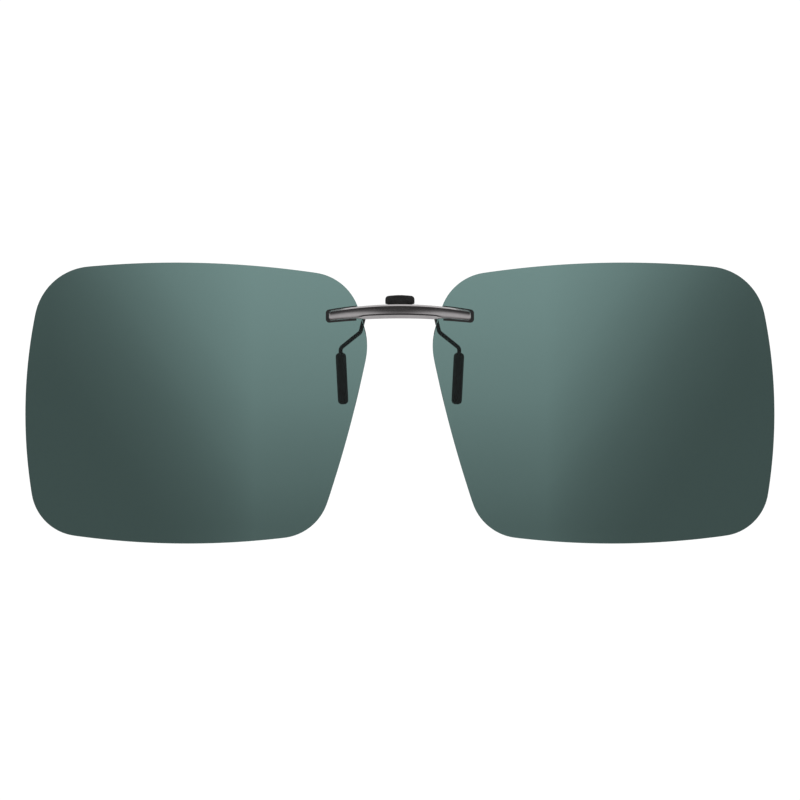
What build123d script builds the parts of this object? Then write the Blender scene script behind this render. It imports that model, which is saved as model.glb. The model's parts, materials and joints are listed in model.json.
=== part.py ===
from build123d import *
import os
from math import pi

# Clip-on flip lenses: a sprung clip that grips the bridge of a pair of spectacles, a hinge
# in front of it, and two tinted lenses on an arched bar that tip up on that hinge.
#
# Millimetres. The origin is midway between the closed grip sleeves, at half their height.
# +X is to the right as seen from the front, -Y points forwards and +Z is up.

os.makedirs("parts", exist_ok=True)

# ---- Driving dimensions ---------------------------------------------------------------

# Where the two hinge lines run, both along X
hinge_z = 11.7              # height of both hinge lines above the middle of the grip
jaw_axis_y = 0.8            # the line the rear jaw opens on, behind the grip's middle
flip_axis_lead = 1.8        # the line the lenses tip up on, ahead of the web's front face

# Lens outline: five rounded corner points, with a straight side above the nose and
# bulging sides round the rest
lens_under_bar = 3.4        # upper inner corner point, in from the bar's end
lens_inner_rise = 5.82      # upper inner corner point, above the hinge lines
lens_top_width = 53.08
lens_top_climb = 1.25       # how much higher the upper outer corner point stands
lens_outer_height = 45.37
lens_outer_lean = 1.35      # how far out the lower outer corner point leans
lens_nose_reach = 3.66      # nose corner point, inwards of the upper inner one
lens_nose_drop = 11.12      # and below it
lens_inner_height = 44.64
lens_inner_lean = 5.59      # how far out the lower inner corner point leans
lens_top_bulge = 2.08
lens_outer_bulge = 2.93
lens_bottom_bulge = 2.08
lens_inner_bulge = 0.7
lens_top_outer_corner = 10.41
lens_bottom_outer_corner = 8.7
lens_bottom_inner_corner = 9.02
lens_top_inner_corner = 9.13
lens_nose_corner = 11.78

# Lens body: a spherical shell that is square to the bar where it is bolted on
lens_thickness = 1.1
lens_front_radius = 178.0
lens_bevel = 0.12
blank_depth = 40.0          # depth of the block the lens is cut from, more than its curve
bolt_pitch = 2.6            # between the two studs of one lens
bolt_edge = 1.2             # from the outer stud to the bar's end

# Arched bar
bar_thickness = 1.2
bar_half_length = 12.4
bar_middle_height = 2.5
bar_end_height = 2.0
bar_arch = 0.9              # how far its ends drop below its middle
bar_end_corner = 0.5
bar_edge_round = 0.42
bar_to_hinge = 1.2          # from the bar's rear face to the flip hinge line

# Lens fastening
gasket_thickness = 0.3
gasket_margin = 0.14        # how far it shows above and below the bar
gasket_end_margin = 0.55    # and past the bar's end
gasket_inset = 0.5          # its inner end, outwards of the lens's inner edge
stud_diameter = 1.0
stud_overhang = 0.15        # stud past its nut
bushing_wall = 0.2
washer_diameter = 2.1
washer_thickness = 0.2
nut_across_flats = 1.8
nut_thickness = 0.9

# Jaw frame: two side plates, a web between them and the front finger tab
plate_radius = 1.1
plate_thickness = 0.5
web_front_y = -1.4
web_thickness = 0.4
tab_half_width = 2.16
tab_top_z = 2.45            # above the hinge lines

# Finger caps
cap_half_width = 2.56
front_cap_bottom_z = 1.3    # above the hinge lines
rear_cap_bottom_z = 1.5     # higher, so that it swings over the side plates
cap_corner_z = 2.66         # corners of both caps' tops, above the hinge lines
cap_crown = 0.22
cap_depth = 1.1
cap_corner = 0.6
cap_edge = 0.18

# Pins
pin_diameter = 0.9
pin_head_lip = 0.3
pin_head_height = 0.3
pin_head_round = 0.18

# Flip barrel, its friction washers and its detent
barrel_radius = 1.1
barrel_half_length = 1.25
barrel_flat = 0.85          # from the hinge line to each flat
saddle_bottom = 0.95        # below the hinge line
friction_washer_thickness = 0.13
leaf_thickness = 0.15
leaf_half_width = 1.0
leaf_half_height = 1.0

# Jaw spring
spring_wire = 0.3
spring_turns = 3
spring_pitch = 0.32
spring_leg_inset = 0.06     # front leg's end, behind the web's front face
spring_leg_overlap = 0.3    # rear leg's end, past the middle of the wire socket
bush_wall = 0.11

# Rear jaw
ear_radius = 1.05
ear_thickness = 0.45
rear_tab_thickness = 0.4
rear_tab_lead = 0.05        # tab's front face ahead of the jaw's hinge line
rear_neck_gap = 0.08        # between the spring's coil and the tab above it
rear_tab_bottom_z = 1.35    # bottom of its wide part, clear of the side plates
socket_diameter = 1.5
socket_half_length = 2.6

# Prong wires and grip sleeves
wire_diameter = 0.7
wire_bend = 0.9
wire_drop = 0.75            # front wires below the hinge lines, where they cross the frame
wire_start_x = 0.45
shoulder_x = 6.2            # where the wires turn down
shoulder_rear_y = 4.2
shoulder_rear_drop = 0.6
elbow_x = 6.9
elbow_drop = 3.6
knee_x = 10.4               # where they turn into the sleeves
knee_drop = 6.4
sleeve_diameter = 1.82
sleeve_length = 9.0
sleeve_round = 0.7
sleeve_foot_x = 9.9         # middle of the sleeve's lower end
sleeve_end_wall = 0.9
grip_gap = 0.3              # between the closed sleeves

# Clearances
running = 0.03              # radial, for what turns
snug = 0.01                 # radial, for what is pressed, riveted or screwed
seat = 0.03                 # under flat parts that sit on the curved lens
side_play = 0.1             # beside and behind what turns

# ---- Derived places -------------------------------------------------------------------

pin_radius = pin_diameter / 2
wire_radius = wire_diameter / 2
sleeve_radius = sleeve_diameter / 2
stud_radius = stud_diameter / 2
flip_axis_y = web_front_y - flip_axis_lead
lens_inner_x = bar_half_length - lens_under_bar
lens_edge_x = lens_inner_x - lens_nose_reach * lens_inner_rise / lens_nose_drop
bolt_middle_x = bar_half_length - bolt_edge - bolt_pitch / 2
plate_inner_x = barrel_half_length + friction_washer_thickness + 2 * snug
plate_outer_x = plate_inner_x + plate_thickness
ear_inner_x = plate_inner_x - side_play - ear_thickness
spring_radius = pin_radius + running + bush_wall + snug + spring_wire / 2
rear_neck_bottom_z = spring_radius + spring_wire / 2 + rear_neck_gap
plate_middle_y = (flip_axis_y + jaw_axis_y) / 2
web_rear_y = web_front_y + web_thickness
bar_rear_y = flip_axis_y - bar_to_hinge
bar_front_y = bar_rear_y - bar_thickness
lens_front_y = bar_rear_y + gasket_thickness
lens_rear_y = lens_front_y + lens_thickness
washer_front_y = lens_rear_y + seat
nut_front_y = washer_front_y + washer_thickness
nut_rear_y = nut_front_y + nut_thickness
front_wire_y = web_rear_y + wire_radius
socket_radius = socket_diameter / 2
socket_y = jaw_axis_y + plate_radius + socket_radius + side_play
socket_z = hinge_z + spring_radius - spring_wire / 2 - socket_radius - snug
grip_y = sleeve_radius + grip_gap / 2
tab_middle_y = web_front_y + web_thickness / 2
rear_tab_y = jaw_axis_y + rear_tab_thickness / 2 - rear_tab_lead
coil_length = spring_turns * spring_pitch
coil_slope = spring_pitch / (2 * pi * spring_radius)
front_leg_x = coil_length / 2 + coil_slope * (jaw_axis_y - tab_middle_y)
stud_places = (bolt_middle_x - bolt_pitch / 2, bolt_middle_x + bolt_pitch / 2)


def bar_centre_z(x):
    """Height of the bar's centre line, which follows an arc."""
    arc_radius = (bar_half_length**2 + bar_arch**2) / (2 * bar_arch)
    return hinge_z + (arc_radius**2 - x**2) ** 0.5 - arc_radius


def save(piece, name):
    """Label a finished piece and write it out."""
    piece.part.label = name
    export_step(piece.part, "parts/" + name + ".step")


def save_pair(right_piece, name):
    """Write a right-hand piece and its left-hand mirror image."""
    save(right_piece, name + "_right")
    with BuildPart() as left_piece:
        mirror(right_piece.part, about=Plane.YZ)
    save(left_piece, name + "_left")


# ---- Jaw frame ------------------------------------------------------------------------

with BuildPart() as front_jaw_frame:
    with BuildSketch(Plane.YZ.offset(plate_inner_x)):
        with Locations((plate_middle_y, hinge_z)):
            SlotCenterToCenter(jaw_axis_y - flip_axis_y, 2 * plate_radius)
    extrude(amount=plate_thickness)
    mirror(about=Plane.YZ)
    with BuildSketch(Plane.XZ.offset(-web_rear_y)):
        with Locations((0, hinge_z)):
            Rectangle(2 * plate_outer_x, 2 * plate_radius)
        with Locations((0, hinge_z + tab_top_z / 2)):
            Rectangle(2 * tab_half_width, tab_top_z)
    extrude(amount=web_thickness)
    fillet(front_jaw_frame.edges().filter_by(Axis.Y).group_by(Axis.Z)[-1], cap_corner)
    with BuildSketch(Plane.YZ):
        with Locations((flip_axis_y, hinge_z), (jaw_axis_y, hinge_z)):
            Circle(pin_radius + snug)
    extrude(amount=2 * plate_outer_x, both=True, mode=Mode.SUBTRACT)
    for side in (-1, 1):
        with BuildSketch(Plane.YZ.offset(side * plate_inner_x / 2)):
            with Locations((front_wire_y, hinge_z - wire_drop)):
                Circle(wire_radius + snug)
        extrude(amount=side * 2 * plate_outer_x, mode=Mode.SUBTRACT)
    with BuildSketch(Plane.XZ.offset(-web_rear_y)):
        with Locations((front_leg_x, hinge_z + spring_radius)):
            Circle(spring_wire / 2 + 2 * running)
    extrude(amount=web_thickness, mode=Mode.SUBTRACT)
save(front_jaw_frame, "front_jaw_frame")


def finger_cap(middle_y, tab_thickness, cap_bottom_z):
    """Rubber cap with a crowned top, over a finger tab."""
    front_plane = Plane.XZ.offset(-(middle_y + cap_depth / 2))
    corner_z = hinge_z + cap_corner_z
    with BuildPart() as cap:
        with BuildSketch(front_plane):
            with BuildLine():
                Line((-cap_half_width, hinge_z + cap_bottom_z),
                     (cap_half_width, hinge_z + cap_bottom_z))
                Line((cap_half_width, hinge_z + cap_bottom_z), (cap_half_width, corner_z))
                ThreePointArc((cap_half_width, corner_z), (0, corner_z + cap_crown),
                              (-cap_half_width, corner_z))
                Line((-cap_half_width, corner_z), (-cap_half_width, hinge_z + cap_bottom_z))
            make_face()
        extrude(amount=cap_depth)
        fillet(cap.edges().filter_by(Axis.Y).group_by(Axis.Z)[-1], cap_corner)
        fillet(cap.faces().filter_by(Axis.Y).edges(), cap_edge)
        with Locations((0, middle_y, hinge_z + cap_bottom_z)):
            Box(2 * (tab_half_width + snug), tab_thickness + 2 * snug,
                2 * (tab_top_z - cap_bottom_z + snug), mode=Mode.SUBTRACT)
    return cap


front_tab_cap = finger_cap(tab_middle_y, web_thickness, front_cap_bottom_z)
save(front_tab_cap, "front_tab_cap")


def riveted_pin(axis_y):
    """Hinge pin with a head formed on each end, outside the side plates."""
    with BuildPart() as pin:
        with BuildSketch(Plane.YZ):
            with Locations((axis_y, hinge_z)):
                Circle(pin_radius)
        extrude(amount=plate_outer_x, both=True)
        with BuildSketch(Plane.YZ.offset(plate_outer_x)):
            with Locations((axis_y, hinge_z)):
                Circle(pin_radius + pin_head_lip)
        extrude(amount=pin_head_height)
        fillet(pin.faces().sort_by(Axis.X)[-1].edges(), pin_head_round)
        with BuildSketch(Plane.YZ.offset(-plate_outer_x)):
            with Locations((axis_y, hinge_z)):
                Circle(pin_radius + pin_head_lip)
        extrude(amount=-pin_head_height)
        fillet(pin.faces().sort_by(Axis.X)[0].edges(), pin_head_round)
    return pin


save(riveted_pin(flip_axis_y), "flip_pin")
save(riveted_pin(jaw_axis_y), "jaw_pin")

# ---- Flip detent and friction washers -------------------------------------------------

with BuildPart() as detent_leaf:
    leaf_crest_y = flip_axis_y + barrel_flat + snug
    with BuildSketch(Plane.YZ.offset(-leaf_half_width)):
        with BuildLine():
            ThreePointArc((web_front_y - snug, hinge_z - leaf_half_height),
                          (leaf_crest_y, hinge_z),
                          (web_front_y - snug, hinge_z + leaf_half_height))
            Line((web_front_y - snug, hinge_z + leaf_half_height),
                 (web_front_y - snug, hinge_z + leaf_half_height - leaf_thickness))
            ThreePointArc((web_front_y - snug, hinge_z + leaf_half_height - leaf_thickness),
                          (leaf_crest_y + leaf_thickness, hinge_z),
                          (web_front_y - snug, hinge_z - leaf_half_height + leaf_thickness))
            Line((web_front_y - snug, hinge_z - leaf_half_height + leaf_thickness),
                 (web_front_y - snug, hinge_z - leaf_half_height))
        make_face()
    extrude(amount=2 * leaf_half_width)
save(detent_leaf, "detent_leaf")

with BuildPart() as friction_washer:
    with BuildSketch(Plane.YZ.offset(barrel_half_length + snug)):
        with Locations((flip_axis_y, hinge_z)):
            Circle(plate_radius - side_play)
            Circle(pin_radius + snug, mode=Mode.SUBTRACT)
    extrude(amount=friction_washer_thickness)
save_pair(friction_washer, "friction_washer")

# ---- Jaw spring -----------------------------------------------------------------------

with BuildPart() as torsion_spring:
    with BuildLine() as coil:
        Helix(spring_pitch, coil_length, spring_radius,
              center=(-coil_length / 2, jaw_axis_y, hinge_z), direction=(1, 0, 0))
    with BuildSketch(Plane(coil.line @ 0, z_dir=coil.line % 0)):
        Circle(spring_wire / 2)
    sweep(path=coil.line, is_frenet=True)
    with BuildSketch(Plane(coil.line @ 1, z_dir=coil.line % 1)):
        Circle(spring_wire / 2)
    extrude(amount=jaw_axis_y - web_front_y - spring_leg_inset)
    with BuildSketch(Plane(coil.line @ 0, z_dir=(coil.line % 0) * -1)):
        Circle(spring_wire / 2)
    extrude(amount=socket_y - jaw_axis_y + spring_leg_overlap)
save(torsion_spring, "torsion_spring")

with BuildPart() as spring_bush:
    with BuildSketch(Plane.YZ):
        with Locations((jaw_axis_y, hinge_z)):
            Circle(pin_radius + running + bush_wall)
            Circle(pin_radius + running, mode=Mode.SUBTRACT)
    extrude(amount=ear_inner_x - snug, both=True)
save(spring_bush, "spring_bush")

# ---- Rear jaw -------------------------------------------------------------------------

with BuildPart() as rear_jaw_plate:
    ear_reach = socket_y - jaw_axis_y
    with BuildSketch(Plane.YZ.offset(ear_inner_x)):
        with Locations((jaw_axis_y, hinge_z)):
            Circle(ear_radius)
        with Locations((jaw_axis_y + ear_reach / 2, (hinge_z + socket_z) / 2)):
            Rectangle(ear_reach, socket_diameter)
        with Locations((rear_tab_y, hinge_z + rear_neck_bottom_z)):
            Rectangle(rear_tab_thickness, ear_radius)
    extrude(amount=ear_thickness)
    mirror(about=Plane.YZ)
    with BuildSketch(Plane.XZ.offset(-rear_tab_y)):
        with Locations((0, hinge_z + rear_neck_bottom_z)):
            Rectangle(2 * (ear_inner_x + ear_thickness), tab_top_z - rear_neck_bottom_z,
                      align=(Align.CENTER, Align.MIN))
        with Locations((0, hinge_z + rear_tab_bottom_z)):
            Rectangle(2 * tab_half_width, tab_top_z - rear_tab_bottom_z,
                      align=(Align.CENTER, Align.MIN))
    extrude(amount=rear_tab_thickness / 2, both=True)
    fillet(rear_jaw_plate.edges().filter_by(Axis.Y).group_by(Axis.Z)[-1], cap_corner)
    with BuildSketch(Plane.YZ):
        with Locations((socket_y, socket_z)):
            Circle(socket_radius)
    extrude(amount=socket_half_length, both=True)
    with BuildSketch(Plane.YZ):
        with Locations((socket_y, socket_z)):
            Circle(wire_radius + snug)
        with Locations((jaw_axis_y, hinge_z)):
            Circle(pin_radius + running)
    extrude(amount=2 * socket_half_length, both=True, mode=Mode.SUBTRACT)
save(rear_jaw_plate, "rear_jaw_plate")

rear_tab_cap = finger_cap(rear_tab_y, rear_tab_thickness, rear_cap_bottom_z)
save(rear_tab_cap, "rear_tab_cap")

# ---- Prong wires and grip sleeves -----------------------------------------------------


def prong(route):
    """Round wire bent along straight runs."""
    with BuildPart() as wire:
        with BuildLine() as path:
            FilletPolyline(*route, radius=wire_bend)
        with BuildSketch(Plane(path.line @ 0, z_dir=path.line % 0)):
            Circle(wire_radius)
        sweep(path=path.line)
    return wire


def grip_sleeve(knee, foot):
    """Moulded sleeve with rounded ends and a blind bore for the wire."""
    down = (foot - knee).normalized()
    top = foot - down * sleeve_length
    with BuildPart(Plane(top, x_dir=(0, 1, 0), z_dir=down)) as sleeve:
        Cylinder(sleeve_radius, sleeve_length,
                 align=(Align.CENTER, Align.CENTER, Align.MIN))
        fillet(sleeve.edges().filter_by(GeomType.CIRCLE), sleeve_round)
        Cylinder(wire_radius + snug, sleeve_length - sleeve_end_wall + snug,
                 align=(Align.CENTER, Align.CENTER, Align.MIN), mode=Mode.SUBTRACT)
    return sleeve


sleeve_foot_z = -sleeve_length / 2
for jaw, side in (("front", -1), ("rear", 1)):
    knee = Vector(knee_x, side * grip_y, hinge_z - knee_drop)
    foot = Vector(sleeve_foot_x, side * grip_y, sleeve_foot_z)
    wire_end = foot - (foot - knee).normalized() * sleeve_end_wall
    if jaw == "front":
        shoulder = (shoulder_x, -grip_y, hinge_z - wire_drop)
        start = ((wire_start_x, front_wire_y, hinge_z - wire_drop),
                 (plate_outer_x + wire_bend, front_wire_y, hinge_z - wire_drop))
        elbow = (elbow_x, -grip_y, hinge_z - elbow_drop)
    else:
        shoulder = (shoulder_x, shoulder_rear_y, hinge_z - shoulder_rear_drop)
        start = ((wire_start_x, socket_y, socket_z),
                 (socket_half_length + wire_bend / 2, socket_y, socket_z))
        elbow = (elbow_x, shoulder_rear_y, hinge_z - elbow_drop)
    save_pair(prong((*start, shoulder, elbow, knee, wire_end)), jaw + "_prong")
    save_pair(grip_sleeve(knee, foot), jaw + "_sleeve")

# ---- Arched bar and flip barrel -------------------------------------------------------


def bar_outline(rear_y, grow, end_grow):
    """Front outline of the arched bar, grown above, below and at its ends."""
    end_x = bar_half_length + end_grow
    end_z = hinge_z - bar_arch
    middle = bar_middle_height / 2 + grow
    end = bar_end_height / 2 + grow
    with BuildSketch(Plane.XZ.offset(-rear_y)) as outline:
        with BuildLine():
            ThreePointArc((-end_x, end_z + end), (0, hinge_z + middle), (end_x, end_z + end))
            Line((end_x, end_z + end), (end_x, end_z - end))
            ThreePointArc((end_x, end_z - end), (0, hinge_z - middle), (-end_x, end_z - end))
            Line((-end_x, end_z - end), (-end_x, end_z + end))
        make_face()
        fillet(outline.vertices(), bar_end_corner + grow)
    return outline.sketch


with BuildPart() as bridge_bar:
    extrude(bar_outline(bar_rear_y, 0, 0), amount=bar_thickness)
    fillet(bridge_bar.faces().sort_by(Axis.Y)[0].edges(), bar_edge_round)
save(bridge_bar, "bridge_bar")

with BuildPart() as flip_barrel:
    with BuildSketch(Plane.YZ):
        with Locations((flip_axis_y, hinge_z)):
            Circle(barrel_radius)
        with Locations((flip_axis_y + barrel_flat, hinge_z)):
            Rectangle(barrel_radius, 2 * barrel_radius, align=(Align.MIN, Align.CENTER),
                      mode=Mode.SUBTRACT)
        with Locations((flip_axis_y, hinge_z + barrel_flat)):
            Rectangle(2 * barrel_radius, barrel_radius, align=(Align.CENTER, Align.MIN),
                      mode=Mode.SUBTRACT)
        with Locations((bar_rear_y, hinge_z - saddle_bottom)):
            Rectangle(bar_to_hinge, saddle_bottom + barrel_flat, align=(Align.MIN, Align.MIN))
        with Locations((flip_axis_y, hinge_z)):
            Circle(pin_radius + running, mode=Mode.SUBTRACT)
    extrude(amount=barrel_half_length, both=True)
save(flip_barrel, "flip_barrel")

# ---- Lenses and their fastening -------------------------------------------------------

with BuildPart() as lens:
    top_inner = Vector(lens_inner_x, hinge_z + lens_inner_rise)
    top_outer = top_inner + Vector(lens_top_width, lens_top_climb)
    bottom_outer = top_outer + Vector(lens_outer_lean, -lens_outer_height)
    bottom_inner = top_inner + Vector(lens_inner_lean, -lens_inner_height)
    nose = top_inner - Vector(lens_nose_reach, lens_nose_drop)
    sphere_middle = (bolt_middle_x, lens_front_y + lens_front_radius, hinge_z)
    with BuildSketch(Plane.XZ.offset(-lens_front_y + lens_thickness)) as outline:
        with BuildLine():
            SagittaArc(top_inner, top_outer, lens_top_bulge)
            SagittaArc(top_outer, bottom_outer, lens_outer_bulge)
            SagittaArc(bottom_outer, bottom_inner, lens_bottom_bulge)
            SagittaArc(bottom_inner, nose, lens_inner_bulge)
            Line(nose, top_inner)
        make_face()
        for corner, corner_radius in ((top_inner, lens_top_inner_corner),
                                      (top_outer, lens_top_outer_corner),
                                      (bottom_outer, lens_bottom_outer_corner),
                                      (bottom_inner, lens_bottom_inner_corner),
                                      (nose, lens_nose_corner)):
            fillet(outline.vertices().sort_by_distance(corner)[0], corner_radius)
    extrude(amount=-blank_depth)
    with Locations(sphere_middle):
        Sphere(lens_front_radius, mode=Mode.INTERSECT)
        Sphere(lens_front_radius - lens_thickness, mode=Mode.SUBTRACT)
    chamfer(lens.faces().filter_by(GeomType.SPHERE).edges(), lens_bevel)
    with BuildSketch(Plane.XZ.offset(-lens_rear_y - lens_thickness)):
        for stud_x in stud_places:
            with Locations((stud_x, bar_centre_z(stud_x))):
                Circle(stud_radius + bushing_wall + 2 * snug)
    extrude(amount=3 * lens_thickness, mode=Mode.SUBTRACT)
save_pair(lens, "lens")

with BuildPart() as gasket:
    with BuildSketch(Plane.XZ.offset(-lens_front_y)):
        add(bar_outline(lens_front_y, gasket_margin, gasket_end_margin))
        with Locations((lens_edge_x + gasket_inset, hinge_z)):
            Rectangle(2 * bar_half_length, 4 * bar_middle_height,
                      align=(Align.MIN, Align.CENTER), mode=Mode.INTERSECT)
        for stud_x in stud_places:
            with Locations((stud_x, bar_centre_z(stud_x))):
                Circle(stud_radius + snug, mode=Mode.SUBTRACT)
    extrude(amount=gasket_thickness)
save_pair(gasket, "gasket")


def at_each_stud(draw, front_y, length):
    """Extrude the same small outline rearwards at both studs of a lens."""
    with BuildPart() as pieces:
        with BuildSketch(Plane.XZ.offset(-front_y)):
            for stud_x in stud_places:
                with Locations((stud_x, bar_centre_z(stud_x))):
                    draw()
        extrude(amount=-length)
    return pieces


def stud_section():
    Circle(stud_radius)


def bushing_section():
    Circle(stud_radius + bushing_wall + snug)
    Circle(stud_radius + snug, mode=Mode.SUBTRACT)


def washer_section():
    Circle(washer_diameter / 2)
    Circle(stud_radius + snug, mode=Mode.SUBTRACT)


def nut_section():
    RegularPolygon(nut_across_flats / 2, 6, major_radius=False)
    Circle(stud_radius + snug, mode=Mode.SUBTRACT)


stud_length = nut_rear_y + stud_overhang - bar_rear_y
save_pair(at_each_stud(stud_section, bar_rear_y, stud_length), "lens_studs")
save_pair(at_each_stud(bushing_section, lens_front_y, lens_thickness + seat), "lens_bushings")
save_pair(at_each_stud(washer_section, washer_front_y, washer_thickness), "lens_washers")
save_pair(at_each_stud(nut_section, nut_front_y, nut_thickness), "lens_nuts")
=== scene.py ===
import json
import math

import bmesh
import bpy
import numpy as np
from bpy.props import FloatProperty, FloatVectorProperty, IntProperty, PointerProperty
from bpy.types import Operator, Panel, PropertyGroup
from mathutils import Matrix, Vector
from mathutils.geometry import delaunay_2d_cdt


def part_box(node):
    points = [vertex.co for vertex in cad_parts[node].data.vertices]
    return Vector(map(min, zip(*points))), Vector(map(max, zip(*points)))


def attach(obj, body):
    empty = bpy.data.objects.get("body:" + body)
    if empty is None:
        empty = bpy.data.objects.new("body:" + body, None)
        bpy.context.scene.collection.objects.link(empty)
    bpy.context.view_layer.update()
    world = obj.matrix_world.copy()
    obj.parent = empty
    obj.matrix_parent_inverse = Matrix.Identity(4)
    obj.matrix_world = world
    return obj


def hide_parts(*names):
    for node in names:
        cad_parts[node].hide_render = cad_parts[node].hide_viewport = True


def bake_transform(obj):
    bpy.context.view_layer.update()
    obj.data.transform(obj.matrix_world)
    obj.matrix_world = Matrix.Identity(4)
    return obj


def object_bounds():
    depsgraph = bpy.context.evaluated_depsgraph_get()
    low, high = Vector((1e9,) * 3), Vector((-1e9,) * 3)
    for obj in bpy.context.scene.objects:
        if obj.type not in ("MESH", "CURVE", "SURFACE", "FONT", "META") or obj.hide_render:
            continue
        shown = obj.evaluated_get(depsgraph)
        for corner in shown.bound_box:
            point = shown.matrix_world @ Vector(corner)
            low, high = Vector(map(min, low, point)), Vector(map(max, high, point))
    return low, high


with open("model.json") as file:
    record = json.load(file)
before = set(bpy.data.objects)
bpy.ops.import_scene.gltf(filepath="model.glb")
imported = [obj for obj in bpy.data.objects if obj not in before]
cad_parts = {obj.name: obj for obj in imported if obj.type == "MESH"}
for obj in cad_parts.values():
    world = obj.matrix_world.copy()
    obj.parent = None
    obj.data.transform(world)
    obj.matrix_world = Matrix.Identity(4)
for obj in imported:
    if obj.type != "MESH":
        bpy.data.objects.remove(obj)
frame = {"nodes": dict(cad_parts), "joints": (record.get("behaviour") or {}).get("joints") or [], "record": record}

bl_info = {
    "name": "Clip-on flip lenses",
    "version": (1, 0, 0),
    "blender": (4, 5, 0),
    "location": "View3D > Sidebar > Flip lenses",
    "description": "Tinted flip-up lenses on an arched bar with a sprung spectacle clip",
    "category": "Add Mesh",
}

CAD_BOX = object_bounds()
MM = 0.001
SIDES = ("left", "right")
JOINTS = {joint["name"]: joint for joint in frame["joints"]}
FLIP_AXIS = Vector(JOINTS["flip_hinge"]["pos_m"])
JAW_AXIS = Vector(JOINTS["jaw_pivot"]["pos_m"])


def length(name, description, millimetres):
    """A length property whose default is given in millimetres."""
    return FloatProperty(name=name, description=description, default=millimetres * MM,
                         min=0.0, precision=5, unit="LENGTH")


def number(name, description, value, **more):
    """A plain number property."""
    return FloatProperty(name=name, description=description, default=value, **more)


def colour(name, description, value):
    """A colour property, linear."""
    return FloatVectorProperty(name=name, description=description, default=value, size=3,
                               subtype="COLOR", min=0.0, max=1.0)


# ---- Settings -------------------------------------------------------------------------


class StageSettings(PropertyGroup):
    picture_width: length("Picture width", "Width of the scene that the camera takes in", 140)
    look_x: length("Look at X", "Sideways place that the camera looks at", 0.0175)
    look_drop: length("Look drop", "How far below the hinge line the camera looks", 15.48)
    camera_lens: number("Camera lens", "Focal length", 600, unit="CAMERA")
    floor_radius: number("Floor radius", "Flat part of the backdrop", 3.0, unit="LENGTH")
    wall_curve: number("Wall curve", "Radius that the floor rises in", 1.5, unit="LENGTH")
    wall_height: number("Wall height", "Top of the backdrop", 4.0, unit="LENGTH")
    floor_gap: length("Floor gap", "From the lowest point of the object to the floor", 0.2)
    backdrop_light: number("Backdrop light", "Brightness of the backdrop as seen", 1.05)
    low_glow: number("Low glow", "Brightness that the object mirrors from round it", 0.55)
    high_glow: number("High glow", "Brightness that it mirrors from high up", 0.045)
    glow_edge: number("Glow edge", "Slope above which the low glow begins to fade", 0.105)
    glow_fade: number("Glow fade", "Rise of the slope over which it fades", 0.145)
    room_light: number("Room light", "Brightness above the backdrop", 0.2)
    key_power: number("Key light", "Overhead softbox", 3.0, unit="POWER")
    fill_power: number("Fill light", "Each other softbox", 0.6, unit="POWER")


class LensSettings(PropertyGroup):
    thickness: length("Thickness", "Lens thickness", 1.1)
    front_radius: length("Front radius", "Radius of the lens's front surface", 178)
    edge_round: length("Edge round", "Radius of the polished edges", 0.12)
    hole_radius: length("Hole radius", "Radius of the bolt holes", 0.72)
    mesh_step: length("Mesh step", "Spacing of the surface mesh", 1.8)
    outline_points: IntProperty(name="Outline points", description="Points round the rim",
                                default=360, min=60)
    hole_points: IntProperty(name="Hole points", description="Points round a hole",
                             default=28, min=8)
    # Painted shade: these set where the lens's colour darkens outwards and downwards.
    painted_shade_start: length("Tint start", "Distance from the middle at which it deepens", 25.5)
    painted_shade_end: length("Tint end", "Distance from the middle at which it is deepest", 61.2)
    painted_shade_top: length("Tint top", "Height above the hinge at which it starts to deepen", 7.5)
    painted_shade_foot: length("Tint foot", "Depth below the hinge at which that ends", 37.5)
    painted_shade_down: number("Tint down", "Share that the depth adds at the bottom", 0.86)
    coating: number("Coating", "Share of the bare surface's reflection that is left", 0.45)
    # Least shaded and most shaded colours of that painted shade.
    least_shaded_tint: colour("Inner tint", "Tint by the upper inner corner", (0.155, 0.252, 0.239))
    painted_shade_tint: colour("Outer tint", "Tint at the lower outer edge", (0.035, 0.061, 0.0565))


class BarSettings(PropertyGroup):
    arch: length("Arch", "How far the bar's ends drop", 0.9)
    middle_height: length("Middle height", "Height of the bar at its middle", 2.5)
    end_height: length("End height", "Height of the bar at its ends", 2.0)
    end_round: length("End round", "Corner radius of its ends", 0.5)
    top_tilt: FloatProperty(name="Top tilt", default=0.166, subtype="ANGLE",
                            description="How far the face looks up below the bevel")
    foot_tilt: FloatProperty(name="Foot tilt", default=0.086, subtype="ANGLE",
                             description="How far it looks up above the lip, at the middle")
    foot_reach: length("Foot reach", "Distance from the middle at which that tilt is gone", 9)
    top_bevel: length("Top bevel", "Height of the bevel along the top", 0.3)
    face_height: length("Face height", "Height of the face between bevel and lip", 1.42)
    ledge: length("Ledge", "How far the lip stands out from the face", 0.04)
    ledge_height: length("Ledge height", "Height over which it comes forward", 0.16)
    lip_end: length("Lip end", "Distance from the middle at which the lip runs out", 6)
    lip_fade: length("Lip fade", "Distance over which it runs out", 2)
    end_lift: length("End lift", "Rise of the bottom edge beyond the lip", 0.2)
    end_strip: length("End strip", "Height of the strip left below the ledge there", 0.16)
    end_retreat: number("End retreat", "How far the ends' corners go back, for each rise", 0.55)
    bevel_depth: length("Bevel depth", "How far the bevel goes back", 0.3)
    flat_depth: length("Flat depth", "Distance from the face to the flat top and bottom", 0.45)
    top_drop: length("Top drop", "How far the top falls before the bevel", 0.03)
    foot_bevel: length("Foot bevel", "Height of the bevel along the bottom", 0.14)
    foot_rise: length("Foot rise", "How far the bottom rises behind that bevel", 0.02)
    lip_slope: number("Lip slope", "How far the lip goes back, for each millimetre down", 0.28)


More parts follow.
